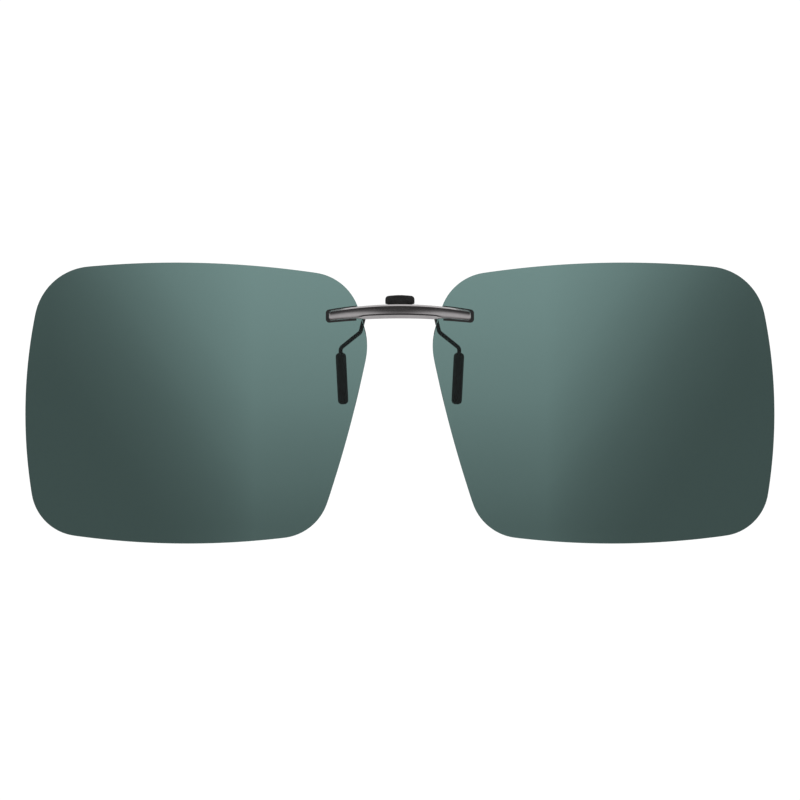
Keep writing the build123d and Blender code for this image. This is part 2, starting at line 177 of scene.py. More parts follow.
class CapSettings(PropertyGroup):
    corner: length("Corner", "Radius of the top corners", 0.62)
    foot_corner: length("Foot corner", "Radius of the bottom corners", 0.16)
    edge: length("Edge", "Rounding of the front and rear edges", 0.24)
    crown: length("Crown", "Rise of the top's middle", 0.22)
    dish_half_width: length("Dish half width", "Half the width of the finger dish", 1.25)
    dish_depth: length("Dish depth", "Depth of the finger dish", 0.16)
    dish_edge: length("Dish edge", "Width of the slope at the dish's sides", 0.22)
    crown_radius: length("Crown radius", "Rounding of the top's middle", 12)


class SleeveSettings(PropertyGroup):
    radius: length("Radius", "Outer radius of a grip sleeve", 0.91)
    length: length("Length", "Length of a grip sleeve", 9.0)
    end_round: length("End round", "Rounding of its ends", 0.7)
    bore_radius: length("Bore radius", "Radius of the hole that the wire goes into", 0.36)
    lean: FloatProperty(name="Lean", description="Lean of the sleeve towards the middle",
                        default=math.atan(0.5 / 9.8), subtype="ANGLE")
    mould_line: length("Mould line", "Height of the fine line left by the mould", 0.015)
    bore_depth: length("Bore depth", "Depth of the hole for the wire", 0.6)
    bore_lip: length("Bore lip", "Width of the rounding at its mouth", 0.07)


class SpringSettings(PropertyGroup):
    wire_radius: length("Wire radius", "Radius of the spring wire", 0.15)
    coil_radius: length("Coil radius", "Radius of the coil, to the middle of the wire", 0.75)
    pitch: length("Pitch", "Distance between turns", 0.32)
    turns: FloatProperty(name="Turns", description="Turns of the coil", default=3.0, min=1.0)


class NutSettings(PropertyGroup):
    across_flats: length("Across flats", "Width of a nut", 1.8)
    thickness: length("Thickness", "Thickness of a nut", 0.9)
    chamfer: length("Chamfer", "Chamfer on its corners", 0.12)
    bore_chamfer: length("Bore chamfer", "Chamfer at the mouth of its bore", 0.06)
    slack: length("Slack", "Gap between the bore and the stud", 0.01)
    stud_radius: length("Stud radius", "Radius of a lens stud", 0.5)


class FinishSettings(PropertyGroup):
    gunmetal: colour("Gunmetal", "Plate on the bar", (0.66, 0.63, 0.635))
    gunmetal_dark: colour("Dark gunmetal", "Where the plate is thickest", (0.57, 0.545, 0.55))
    rubber: colour("Rubber", "Caps and sleeves", (0.042, 0.043, 0.043))
    lacquer: colour("Lacquer", "Black lacquer on the wires and frame", (0.006, 0.0085, 0.009))
    steel: colour("Steel", "Pins and springs", (0.50, 0.49, 0.47))
    nickel: colour("Nickel", "Nuts", (0.62, 0.59, 0.54))
    nylon: colour("Nylon", "Friction washers", (0.72, 0.70, 0.64))


SETTINGS = (
    ("stage", StageSettings, "Stage"),
    ("lens", LensSettings, "Lenses"),
    ("bar", BarSettings, "Bar"),
    ("cap", CapSettings, "Finger caps"),
    ("sleeve", SleeveSettings, "Grip sleeves"),
    ("spring", SpringSettings, "Jaw spring"),
    ("nut", NutSettings, "Lens nuts"),
    ("finish", FinishSettings, "Finishes"),
)


class FlipLensSettings(PropertyGroup):
    """Everything that can be set, one group for each kind of piece."""


FlipLensSettings.__annotations__ = {
    key: PointerProperty(type=group, name=label, description=label)
    for key, group, label in SETTINGS
}


def settings(key):
    """One group of settings of the scene."""
    return getattr(bpy.context.scene.flip_lenses, key)


# ---- Shader groups --------------------------------------------------------------------


class Nodes:
    """Adds nodes to a tree and links them, so that a material reads as a short list."""

    def __init__(self, tree):
        self.tree = tree

    def add(self, kind, inputs=None, **values):
        node = self.tree.nodes.new(kind)
        for name, value in values.items():
            setattr(node, name, value)
        for name, value in (inputs or {}).items():
            socket = node.inputs[name]
            if isinstance(value, bpy.types.NodeSocket):
                self.tree.links.new(value, socket)
            else:
                socket.default_value = value
        return node

    def math(self, operation, first, second=0.0):
        return self.add("ShaderNodeMath", {0: first, 1: second}, operation=operation).outputs[0]


def new_group(name, inputs, outputs):
    """An empty shader node group with named sockets, and its input and output nodes."""
    group = bpy.data.node_groups.new(name, "ShaderNodeTree")
    for socket, kind, default in inputs:
        made = group.interface.new_socket(socket, in_out="INPUT", socket_type=kind)
        made.default_value = default
    for socket, kind in outputs:
        group.interface.new_socket(socket, in_out="OUTPUT", socket_type=kind)
    nodes = Nodes(group)
    return group, nodes, nodes.add("NodeGroupInput"), nodes.add("NodeGroupOutput")


def grain_group():
    """Fine, even grain: a height for bump and a roughness that follows it."""
    group, n, given, result = new_group(
        "fine grain",
        (("Scale", "NodeSocketFloat", 4000.0), ("Low Roughness", "NodeSocketFloat", 0.4),
         ("High Roughness", "NodeSocketFloat", 0.6)),
        (("Height", "NodeSocketFloat"), ("Roughness", "NodeSocketFloat")))
    place = n.add("ShaderNodeTexCoord").outputs["Object"]
    fine = n.add("ShaderNodeTexNoise", {"Vector": place, "Scale": given.outputs["Scale"],
                                        "Detail": 4.0, "Roughness": 0.6})
    broad_scale = n.math("MULTIPLY", given.outputs["Scale"], 0.08)
    broad = n.add("ShaderNodeTexNoise", {"Vector": place, "Scale": broad_scale, "Detail": 3.0})
    mixed = n.math("ADD", n.math("MULTIPLY", fine.outputs[0], 0.55),
                   n.math("MULTIPLY", broad.outputs[0], 0.45))
    spread = n.add("ShaderNodeMapRange", {
        "Value": mixed, "From Min": 0.35, "From Max": 0.65,
        "To Min": given.outputs["Low Roughness"], "To Max": given.outputs["High Roughness"]})
    n.tree.links.new(fine.outputs[0], result.inputs["Height"])
    n.tree.links.new(spread.outputs[0], result.inputs["Roughness"])
    return group


def drift_group():
    """Slow drift from one colour to another over the surface."""
    group, n, given, result = new_group(
        "colour drift",
        (("Colour", "NodeSocketColor", (0.5, 0.5, 0.5, 1)),
         ("Other Colour", "NodeSocketColor", (0.4, 0.4, 0.4, 1)),
         ("Scale", "NodeSocketFloat", 300.0)),
        (("Colour", "NodeSocketColor"),))
    place = n.add("ShaderNodeTexCoord").outputs["Object"]
    noise = n.add("ShaderNodeTexNoise", {"Vector": place, "Scale": given.outputs["Scale"],
                                         "Detail": 5.0, "Roughness": 0.6})
    share = n.add("ShaderNodeMapRange", {"Value": noise.outputs[0], "From Min": 0.3,
                                         "From Max": 0.7})
    mix = n.add("ShaderNodeMix", {0: share.outputs[0], 6: given.outputs["Colour"],
                                  7: given.outputs["Other Colour"]}, data_type="RGBA")
    n.tree.links.new(mix.outputs[2], result.inputs["Colour"])
    return group


def brushed_group():
    """Fine lines along X, as drawn or brushed metal has."""
    group, n, given, result = new_group(
        "brushed lines",
        (("Fineness", "NodeSocketFloat", 9000.0), ("Low Roughness", "NodeSocketFloat", 0.2),
         ("High Roughness", "NodeSocketFloat", 0.35)),
        (("Height", "NodeSocketFloat"), ("Roughness", "NodeSocketFloat")))
    place = n.add("ShaderNodeTexCoord").outputs["Object"]
    stretched = n.add("ShaderNodeMapping", {"Vector": place, "Scale": (0.02, 1.0, 1.0)})
    lines = n.add("ShaderNodeTexNoise", {"Vector": stretched.outputs[0], "Detail": 3.0,
                                         "Scale": given.outputs["Fineness"]})
    spread = n.add("ShaderNodeMapRange", {
        "Value": lines.outputs[0], "From Min": 0.3, "From Max": 0.7,
        "To Min": given.outputs["Low Roughness"], "To Max": given.outputs["High Roughness"]})
    n.tree.links.new(lines.outputs[0], result.inputs["Height"])
    n.tree.links.new(spread.outputs[0], result.inputs["Roughness"])
    return group


GROUP_MAKERS = {"fine grain": grain_group, "colour drift": drift_group,
                "brushed lines": brushed_group}


def shader_group(name):
    """A shared shader group, made the first time that it is asked for."""
    return bpy.data.node_groups.get(name) or GROUP_MAKERS[name]()


# ---- Materials ------------------------------------------------------------------------


def new_material(name):
    """A material with its Principled shader, and a helper that adds nodes to it."""
    material = bpy.data.materials.new(name)
    material.use_nodes = True
    nodes = Nodes(material.node_tree)
    shader = material.node_tree.nodes["Principled BSDF"]
    return material, nodes, shader


def grown(value, share):
    """A colour made lighter or darker by a share, with an alpha."""
    return (*(min(1.0, channel * share) for channel in value), 1.0)


def coloured(nodes, shader, value, other, scale):
    """Feeds the shader's base colour with a slow drift between two colours."""
    drift = nodes.add("ShaderNodeGroup", node_tree=shader_group("colour drift"))
    drift.inputs["Colour"].default_value = value
    drift.inputs["Other Colour"].default_value = other
    drift.inputs["Scale"].default_value = scale
    nodes.tree.links.new(drift.outputs["Colour"], shader.inputs["Base Color"])


def textured(nodes, shader, group, scale, low, high, depth):
    """Feeds roughness and a bump from one of the shared surface groups."""
    texture = nodes.add("ShaderNodeGroup", node_tree=shader_group(group))
    texture.inputs[0].default_value = scale
    texture.inputs["Low Roughness"].default_value = low
    texture.inputs["High Roughness"].default_value = high
    bump = nodes.add("ShaderNodeBump", {"Strength": 1.0, "Distance": depth,
                                        "Height": texture.outputs["Height"]})
    nodes.tree.links.new(texture.outputs["Roughness"], shader.inputs["Roughness"])
    nodes.tree.links.new(bump.outputs[0], shader.inputs["Normal"])


def tone(value):
    """A colour given as numbers, or as the name of one of the finish settings."""
    return tuple(getattr(settings("finish"), value)) if isinstance(value, str) else value


def metal(value, dark, metallic, low, high, depth=2e-7, group="brushed lines",
          scale=9000.0, coat=0.0):
    """Metal with a drift of tone and fine lines or grain."""
    material, nodes, shader = new_material("metal")
    coloured(nodes, shader, grown(tone(value), 1.0), grown(tone(dark), 1.0), 420.0)
    textured(nodes, shader, group, scale, low, high, depth)
    shader.inputs["Metallic"].default_value = metallic
    shader.inputs["Coat Weight"].default_value = coat
    shader.inputs["Coat Roughness"].default_value = 0.08
    return material


def moulded(value, low, high, depth, scale):
    """Rubber or moulded plastic with a fine grain."""
    material, nodes, shader = new_material("moulded")
    coloured(nodes, shader, grown(tone(value), 1.25), grown(tone(value), 0.75), 600.0)
    textured(nodes, shader, "fine grain", scale, low, high, depth)
    shader.inputs["Specular IOR Level"].default_value = 0.4
    return material


# Colour, darker colour, metallic share, lowest and highest roughness, then, where they
# differ from the usual: bump height, texture, its scale and the clear coat.
METALS = {
    "gunmetal": ("gunmetal", "gunmetal_dark", 1.0, 0.09, 0.17),
    "blackened_steel": ("lacquer", "rubber", 0.35, 0.34, 0.5, 4e-6, "fine grain", 7000.0, 0.2),
    "black_wire": ("lacquer", "rubber", 0.2, 0.22, 0.36, 2e-6, "fine grain", 5000.0, 0.4),
    "bright_steel": ("steel", (0.38, 0.37, 0.36), 1.0, 0.24, 0.38),
    "spring_steel": ((0.42, 0.40, 0.37), (0.30, 0.27, 0.24), 1.0, 0.26, 0.42),
    "nickel": ("nickel", (0.5, 0.47, 0.42), 1.0, 0.1, 0.24, 2e-7, "fine grain", 6000.0),
}
# Colour, lowest and highest roughness, bump height and scale of the grain.
MOULDED = {
    "black_rubber": ("rubber", 0.48, 0.66, 6e-6, 7000.0),
    "black_gasket": ("rubber", 0.6, 0.78, 5e-6, 9000.0),
    "black_plastic": ("rubber", 0.4, 0.55, 3e-6, 6000.0),
    "white_nylon": ("nylon", 0.42, 0.58, 3e-6, 6000.0),
}


def clear_nylon():
    """Clear moulded nylon, a little cloudy."""
    material, nodes, shader = new_material("clear nylon")
    coloured(nodes, shader, (0.82, 0.84, 0.82, 1.0), (0.70, 0.72, 0.69, 1.0), 900.0)
    textured(nodes, shader, "fine grain", 5000.0, 0.12, 0.3, 1e-6)
    shader.inputs["Transmission Weight"].default_value = 0.85
    shader.inputs["IOR"].default_value = 1.53
    return material


CLOUDINESS = 0.10
# Painted shade in the lens's colour: the depth at which it is deepest.
DEEPEST_PAINTED_SHADE = 1.4
# Depth of the painted shade, as a share of the deepest, and the share of the most shaded tint that it takes.
PAINTED_SHADE_STOPS = ((0.0, 0.0), (0.31, 0.40), (0.52, 0.70), (0.67, 0.86), (0.86, 0.98), (1.0, 1.0))


def tinted_lens():
    """Polished grey-green lens, darkened outwards and downwards by painted shade."""
    look = settings("lens")
    material, n, shader = new_material("tinted lens")
    place = n.add("ShaderNodeTexCoord").outputs["Object"]
    parts = n.add("ShaderNodeSeparateXYZ", {"Vector": place}).outputs
    outward = n.math("ABSOLUTE", parts["X"])
    # Painted shade: the colour darkens towards the outer edge and towards the bottom.
    across = n.add("ShaderNodeMapRange", {
        "Value": outward, "From Min": look.painted_shade_start, "From Max": look.painted_shade_end})
    down = n.add("ShaderNodeMapRange", {
        "Value": parts["Z"], "From Min": FLIP_AXIS.z + look.painted_shade_top,
        "From Max": FLIP_AXIS.z - look.painted_shade_foot, "To Max": look.painted_shade_down})
    depth = n.math("ADD", across.outputs[0], down.outputs[0])
    cloud = n.add("ShaderNodeTexNoise", {"Vector": place, "Scale": 28.0, "Detail": 2.0})
    drift = n.math("MULTIPLY", n.math("SUBTRACT", cloud.outputs[0], 0.5), CLOUDINESS)
    scaled = n.math("DIVIDE", n.math("ADD", depth, drift), DEEPEST_PAINTED_SHADE)
    ramp = n.add("ShaderNodeValToRGB", {"Fac": scaled})
    ramp.color_ramp.interpolation = "B_SPLINE"
    stops = ramp.color_ramp.elements
    for index, (at, share) in enumerate(PAINTED_SHADE_STOPS):
        stop = stops[index] if index < len(stops) else stops.new(at)
        stop.position = at
        stop.color = (*(inner + (outer - inner) * share for inner, outer
                        in zip(look.least_shaded_tint, look.painted_shade_tint)), 1.0)
    n.tree.links.new(ramp.outputs[0], shader.inputs["Base Color"])
    film = n.add("ShaderNodeTexNoise", {"Vector": place, "Scale": 900.0, "Detail": 4.0})
    gloss = n.add("ShaderNodeMapRange", {"Value": film.outputs[0], "From Min": 0.3,
                                         "From Max": 0.7, "To Min": 0.0, "To Max": 0.03})
    n.tree.links.new(gloss.outputs[0], shader.inputs["Roughness"])
    shader.inputs["Transmission Weight"].default_value = 1.0
    shader.inputs["IOR"].default_value = 1.5
    shader.inputs["Specular Tint"].default_value = (*(look.coating,) * 3, 1.0)
    return material


def backdrop_paper():
    """White paper, evenly lit where it is seen, that the object mirrors darker higher up."""
    look = settings("stage")
    material = bpy.data.materials.new("backdrop paper")
    material.use_nodes = True
    tree = material.node_tree
    tree.nodes.clear()
    n = Nodes(tree)
    ray = n.add("ShaderNodeLightPath").outputs
    seen = n.math("MAXIMUM", ray["Is Camera Ray"], ray["Is Transmission Ray"])
    place = n.add("ShaderNodeTexCoord").outputs["Object"]
    flat = n.add("ShaderNodeVectorMath", {0: place, 1: (1, 1, 0)}, operation="MULTIPLY")
    away = n.add("ShaderNodeVectorMath", {0: flat.outputs[0]}, operation="LENGTH")
    height = n.add("ShaderNodeSeparateXYZ", {"Vector": place}).outputs["Z"]
    slope = n.math("DIVIDE", height, n.math("MAXIMUM", away.outputs["Value"], 0.001))
    glow = n.add("ShaderNodeMapRange", {
        "Value": slope, "From Min": look.glow_edge, "From Max": look.glow_edge + look.glow_fade,
        "To Min": look.low_glow, "To Max": look.high_glow},
        interpolation_type="SMOOTHSTEP").outputs[0]
    strength = n.add("ShaderNodeMapRange", {"Value": seen, "To Min": glow,
                                            "To Max": look.backdrop_light})
    paper = n.add("ShaderNodeEmission", {"Strength": strength.outputs[0]})
    output = n.add("ShaderNodeOutputMaterial")
    tree.links.new(paper.outputs[0], output.inputs["Surface"])
    return material


def finish(name):
    """One of the object's finishes, made the first time that it is asked for."""
    label = "finish " + name.replace("_", " ")
    made = bpy.data.materials.get(label)
    if made:
        return made
    if name in METALS:
        made = metal(*METALS[name])
    elif name in MOULDED:
        made = moulded(*MOULDED[name])
    else:
        made = {"tinted_lens": tinted_lens, "clear_nylon": clear_nylon}[name]()
    made.name = label
    return made


# ---- Mesh helpers ---------------------------------------------------------------------


def add_object(name, mesh):
    """Links a mesh to the scene as an object at the origin."""
    piece = bpy.data.objects.new(name, mesh)
    bpy.context.scene.collection.objects.link(piece)
    return piece


def closed_mesh(name, points, faces, crease=32.0):
    """A mesh with merged points, faces outward, and sharp edges where it turns quickly."""
    mesh = bpy.data.meshes.new(name)
    mesh.from_pydata([tuple(point) for point in points], [], faces)
    shape = bmesh.new()
    shape.from_mesh(mesh)
    bmesh.ops.remove_doubles(shape, verts=shape.verts, dist=2e-6)
    bmesh.ops.recalc_face_normals(shape, faces=shape.faces)
    shape.to_mesh(mesh)
    shape.free()
    mesh.shade_smooth()
    mesh.set_sharp_from_angle(angle=math.radians(crease))
    return mesh


def body_of_node(node):
    """The body that a CAD node belongs to."""
    bodies = frame["record"]["behaviour"]["bodies"]
    return next(body for body, nodes in bodies.items() if node in nodes)


def slot_of_node(node):
    """The record's material slot of a CAD node."""
    return next(part["material_slot"] for part in frame["record"]["subparts"]
                if part["node"] == node)


def stand_for(piece, node):
    """Gives a piece the finish, slot and body of the CAD node that it takes the place of."""
    slot = slot_of_node(node)
    piece.data.materials.clear()
    piece.data.materials.append(finish(slot))
    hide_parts(node)
    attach(piece, body_of_node(node))
    return piece


def ring_faces(rings, count, first=0):
    """Quads between neighbouring rings of the same number of points."""
    faces = []
    for ring in range(rings - 1):
        start = first + ring * count
        for i in range(count):
            j = (i + 1) % count
            faces.append((start + i, start + j, start + count + j, start + count + i))
    return faces


def fan(points, count, first, hub):
    """Triangles from a new hub point to a ring of points that starts at an index."""
    points.append(tuple(hub))
    return [(len(points) - 1, first + i, first + (i + 1) % count) for i in range(count)]


def node_points(node):
    """All mesh points of a CAD node, in metres."""
    return np.array([vertex.co for vertex in frame["nodes"][node].data.vertices])


def hull(points):
    """Corners of the convex outline of flat points, anticlockwise."""
    ordered = sorted(set(map(tuple, np.round(points, 7))))

    def half(chain):
        kept = []
        for point in chain:
            while len(kept) > 1:
                a, b = kept[-2], kept[-1]
                turn = (b[0] - a[0]) * (point[1] - a[1]) - (b[1] - a[1]) * (point[0] - a[0])
                if turn > 0:
                    break
                kept.pop()
            kept.append(point)
        return kept[:-1]

    return np.array(half(ordered) + half(ordered[::-1]))


def thinned(points, spacing):
    """Drops points of a closed outline that stand closer to the last one than a spacing."""
    kept = [points[0]]
    for point in points[1:]:
        if np.linalg.norm(point - kept[-1]) > spacing:
            kept.append(point)
    if np.linalg.norm(kept[0] - kept[-1]) < spacing:
        kept.pop()
    return np.array(kept)


def outline_normals(loop):
    """Outward normals of a closed anticlockwise outline."""
    along = np.roll(loop, -1, 0) - np.roll(loop, 1, 0)
    along /= np.linalg.norm(along, axis=1)[:, None]
    return np.column_stack((along[:, 1], -along[:, 0]))


def even_loop(points, count):
    """Evenly spaced points on the closed cubic spline through the given ones."""
    total = len(points)
    step = np.linalg.norm(np.roll(points, -1, 0) - points, axis=1)
    system = np.zeros((total, total))
    right = np.zeros((total, 2))
    for i in range(total):
        j = (i + 1) % total
        system[i, i - 1] += step[i - 1]
        system[i, i] += 2 * (step[i - 1] + step[i])
        system[i, j] += step[i]
        right[i] = 6 * ((points[j] - points[i]) / step[i]
                        - (points[i] - points[i - 1]) / step[i - 1])
    bend = np.linalg.solve(system, right)
    t = np.linspace(0, 1, 40, endpoint=False)[:, None]
    dense = []
    for i in range(total):
        j = (i + 1) % total
        share = step[i] ** 2 / 6
        dense.append(points[i] * (1 - t) + points[j] * t
                     + share * ((1 - t) ** 3 - (1 - t)) * bend[i]
                     + share * (t ** 3 - t) * bend[j])
    dense = np.vstack(dense + [dense[0][:1]])
    walked = np.concatenate(([0], np.cumsum(np.linalg.norm(np.diff(dense, axis=0), axis=1))))
    wanted = np.linspace(0, walked[-1], count, endpoint=False)
    return np.column_stack([np.interp(wanted, walked, dense[:, k]) for k in range(2)])


def rounded_outline(corners, radii, steps=8):
    """Anticlockwise polygon with each corner rounded by an arc."""
    loop = []
    total = len(corners)
    for i in range(total):
        before, corner, after = (Vector(corners[k % total]) for k in (i - 1, i, i + 1))
        back = (before - corner).normalized()
        on = (after - corner).normalized()
        half = back.angle(on) / 2
        centre = corner + (back + on).normalized() * (radii[i] / math.sin(half))
        first = corner + back * (radii[i] / math.tan(half)) - centre
        sweep = math.pi - 2 * half
        for step in range(steps + 1):
            turned = Matrix.Rotation(sweep * step / steps, 2) @ first
            loop.append(centre + turned)
    return np.array([tuple(point) for point in loop])


def circle(middle, radius, count):
    """Points of a circle, anticlockwise."""
    angles = np.arange(count) * 2 * math.pi / count
    return np.column_stack((middle[0] + radius * np.cos(angles),
                            middle[1] + radius * np.sin(angles)))


def edge_steps(radius, steps=3):
    """(inset, drop) pairs round a quarter-circle edge, from the face to the side."""
    turns = [math.pi / 2 * k / steps for k in range(steps + 1)]
    return [(radius * (1 - math.sin(a)), radius * (1 - math.cos(a))) for a in turns]


def stud_places(side):
    """Middle of each of the two lens studs of a side, as (x, z)."""
    low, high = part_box("lens_studs_" + side)
    radius = settings("nut").stud_radius
    outer, inner = (low.x + radius, high.x - radius) if side == "left" else (
        high.x - radius, low.x + radius)
    return ((inner, high.z - radius), (outer, low.z + radius))


# ---- Stage ----------------------------------------------------------------------------


# Name, place in metres, size in metres and the setting that holds the power.
SOFTBOXES = (
    ("key_light", (0.0, -0.1, 0.7), (1.6, 1.15), "key_power"),
    ("left_fill", (-0.75, 0.3, 0.35), (0.4, 0.4), "fill_power"),
    ("right_fill", (0.75, 0.3, 0.35), (0.4, 0.4), "fill_power"),
    ("rear_light", (0.0, 0.8, 0.4), (0.6, 0.3), "fill_power"),
)
WALL_STEPS = 12
BACKDROP_SIDES = 96


class FLIPLENS_OT_stage(Operator):
    """Camera, soft lights and a seamless white backdrop"""

    bl_idname = "fliplens.stage"
    bl_label = "Stage"

    def execute(self, context):
        look = settings("stage")
        scene = context.scene
        target = Vector((look.look_x, 0, FLIP_AXIS.z - look.look_drop))
        camera = bpy.data.objects.new("camera", bpy.data.cameras.new("camera"))
        camera.data.lens = look.camera_lens
        distance = look.picture_width * look.camera_lens / camera.data.sensor_width
        camera.data.clip_start = 0.01
        camera.data.clip_end = 50.0
        camera.location = target - Vector((0, distance, 0))
        camera.rotation_euler = (math.pi / 2, 0, 0)
        scene.collection.objects.link(camera)
        scene.camera = camera
        scene.view_settings.view_transform = "Standard"

        world = bpy.data.worlds.new("studio")
        world.use_nodes = True
        world.node_tree.nodes["Background"].inputs["Color"].default_value = (
            look.room_light, look.room_light, look.room_light, 1)
        scene.world = world

        def softbox(name, place, size, power):
            light = bpy.data.lights.new(name, "AREA")
            light.shape = "RECTANGLE"
            light.size, light.size_y = size
            light.energy = power
            lamp = bpy.data.objects.new(name, light)
            lamp.location = place
            lamp.rotation_euler = (-Vector(place)).to_track_quat("-Z", "Y").to_euler()
            scene.collection.objects.link(lamp)

        for name, place, size, power in SOFTBOXES:
            softbox(name, place, size, getattr(look, power))

        floor_z = CAD_BOX[0].z - look.floor_gap
        profile = [(0.0, floor_z), (look.floor_radius * 0.5, floor_z)]
        for step in range(WALL_STEPS + 1):
            turn = math.pi / 2 * step / WALL_STEPS
            profile.append((look.floor_radius + look.wall_curve * math.sin(turn),
                            floor_z + look.wall_curve * (1 - math.cos(turn))))
        profile.append((look.floor_radius + look.wall_curve, look.wall_height))
        points = []
        for radius, height in profile[1:]:
            points += [(x, y, height) for x, y in circle((0, 0), radius, BACKDROP_SIDES)]
        faces = ring_faces(len(profile) - 1, BACKDROP_SIDES)
        faces.append(tuple(range(BACKDROP_SIDES)))
        mesh = bpy.data.meshes.new("backdrop")
        mesh.from_pydata(points, [], faces)
        mesh.shade_smooth()
        mesh.materials.append(backdrop_paper())
        add_object("backdrop", mesh)
        return {"FINISHED"}


# ---- Lenses ---------------------------------------------------------------------------


def flat_fill(loop, holes, step):
    """Triangles that fill an outline round its holes, with evenly spaced inner points."""
    low, high = loop.min(0), loop.max(0)
    xs = np.arange(low[0] + step / 2, high[0], step)
    zs = np.arange(low[1] + step / 2, high[1], step * 0.866)
    grid = np.array([(x + (row % 2) * step / 2, z) for row, z in enumerate(zs) for x in xs])
    normals = outline_normals(loop)
    inside = np.ones(len(grid), bool)
    for point, normal in zip(loop, normals):
        inside &= (grid - point) @ normal < -0.45 * step
    for middle, radius, _ in holes:
        inside &= np.linalg.norm(grid - middle, axis=1) > radius + 0.45 * step
    grid = grid[inside]
    rounds = [loop] + [circle(middle, radius, count) for middle, radius, count in holes]
    edges, points = [], []
    for ring in rounds:
        start = len(points)
        points += [tuple(point) for point in ring]
        edges += [(start + i, start + (i + 1) % len(ring)) for i in range(len(ring))]
    points += [tuple(point) for point in grid]
    scaled = [Vector(point) / MM for point in points]
    made, _, faces, *_ = delaunay_2d_cdt(scaled, edges, [], 1, 1e-6)
    flat = np.array([tuple(point) for point in made]) * MM
    kept = []
    for face in faces:
        middle = flat[list(face)].mean(0)
        if all(np.linalg.norm(middle - np.array(hole)) > radius for hole, radius, _ in holes):
            kept.append(face)
    return flat, kept


def lens_mesh(side):
    """Spherical shell with the outline of the CAD lens, rounded edges and two bolt holes."""
    look = settings("lens")
    studs = stud_places(side)
    outline = thinned(hull(node_points("lens_" + side)[:, [0, 2]]), 0.4 * MM)
    loop = even_loop(outline, look.outline_points)
    normals = outline_normals(loop)
    middle = Vector((sum(x for x, _ in studs) / 2, 0, FLIP_AXIS.z))
    middle.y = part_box("gasket_" + side)[1].y + look.front_radius

    def depth(flat, radius):
        across = (flat[:, 0] - middle.x) ** 2 + (flat[:, 1] - middle.z) ** 2
        return middle.y - np.sqrt(radius ** 2 - across)

    points, faces = [], []
    rear_radius = look.front_radius - look.thickness
    steps = edge_steps(look.edge_round)
    for inset, drop in steps:
        ring = loop - normals * inset
        points += list(zip(ring[:, 0], depth(ring, look.front_radius) + drop, ring[:, 1]))
    for inset, drop in reversed(steps):
        ring = loop - normals * inset
        points += list(zip(ring[:, 0], depth(ring, rear_radius) - drop, ring[:, 1]))
    faces += ring_faces(2 * len(steps), len(loop))
    holes = [(np.array(place), look.hole_radius, look.hole_points) for place in studs]
    flat, triangles = flat_fill(loop - normals * look.edge_round, holes, look.mesh_step)
    for radius in (look.front_radius, rear_radius):
        start = len(points)
        points += list(zip(flat[:, 0], depth(flat, radius), flat[:, 1]))
        faces += [tuple(start + i for i in triangle) for triangle in triangles]
    for place, radius, count in holes:
        start = len(points)
        ring = circle(place, radius, count)
        for surface in (look.front_radius, rear_radius):
            points += list(zip(ring[:, 0], depth(ring, surface), ring[:, 1]))
        faces += ring_faces(2, count, start)
    return closed_mesh("tinted_lens_" + side, points, faces, crease=10.0)


class FLIPLENS_OT_lenses(Operator):
    """Two curved, tinted lenses with polished rims"""

    bl_idname = "fliplens.lenses"
    bl_label = "Lenses"

    def execute(self, context):
        for side in SIDES:
            stand_for(add_object("tinted_lens_" + side, lens_mesh(side)), "lens_" + side)
        return {"FINISHED"}


# ---- Arched bar -----------------------------------------------------------------------


BAR_STATIONS = 81
BAR_END_STATIONS = 14
BAR_FACE_ROWS = 11


def arc_height(x, middle, end, half):
    """Height at x of the arc through a middle height and two equal end heights."""
    sag = middle - end
    radius = (half ** 2 + sag ** 2) / (2 * sag)
    return middle - math.copysign(1, sag) * (abs(radius) - math.sqrt(radius ** 2 - x ** 2))


